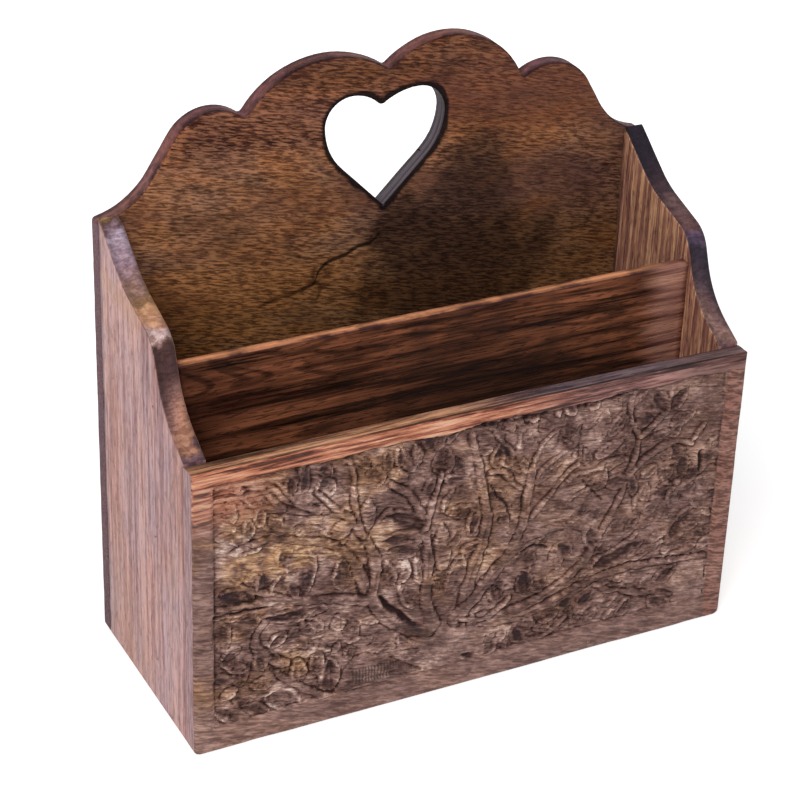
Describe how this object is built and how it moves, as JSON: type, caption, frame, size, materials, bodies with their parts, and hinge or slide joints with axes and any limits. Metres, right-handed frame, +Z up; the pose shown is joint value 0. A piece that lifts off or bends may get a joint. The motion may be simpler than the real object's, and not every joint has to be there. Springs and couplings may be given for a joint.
{
  "type": "desk letter box",
  "caption": "Carved wooden letter rack: scalloped back with a heart cut-out, S-shaped sides, a low carved front, and a divider between its letter slots.",
  "frame": {"origin": "centre of the footprint, on the surface that the box stands on", "axes": "+Z up, +Y from the carved front to the back, +X to the right seen from the front"},
  "size_m": [0.254, 0.1036, 0.2556],
  "materials": {
    "front_wood": "carved, open-pored dark hardwood, thin satin finish",
    "back_wood": "planed dark hardwood, open pores, thin satin finish",
    "side_wood": "planed dark hardwood, upright grain, thin satin finish",
    "inner_wood": "planed dark hardwood, oiled",
    "pin_steel": "drawn wire",
    "wood_filler": "stained wood filler, sanded flush"
  },
  "bodies": {
    "root": {"back_panel": "back_wood", "front_panel": "front_wood", "left_side_panel": "side_wood", "right_side_panel": "side_wood", "divider_panel": "inner_wood", "bottom_panel": "inner_wood", "front_panel_pins": "pin_steel", "back_panel_pins": "pin_steel", "left_side_pins": "pin_steel", "right_side_pins": "pin_steel", "divider_foot_pins": "pin_steel", "pin_hole_fillers": "wood_filler"}
  },
  "joints": []
}
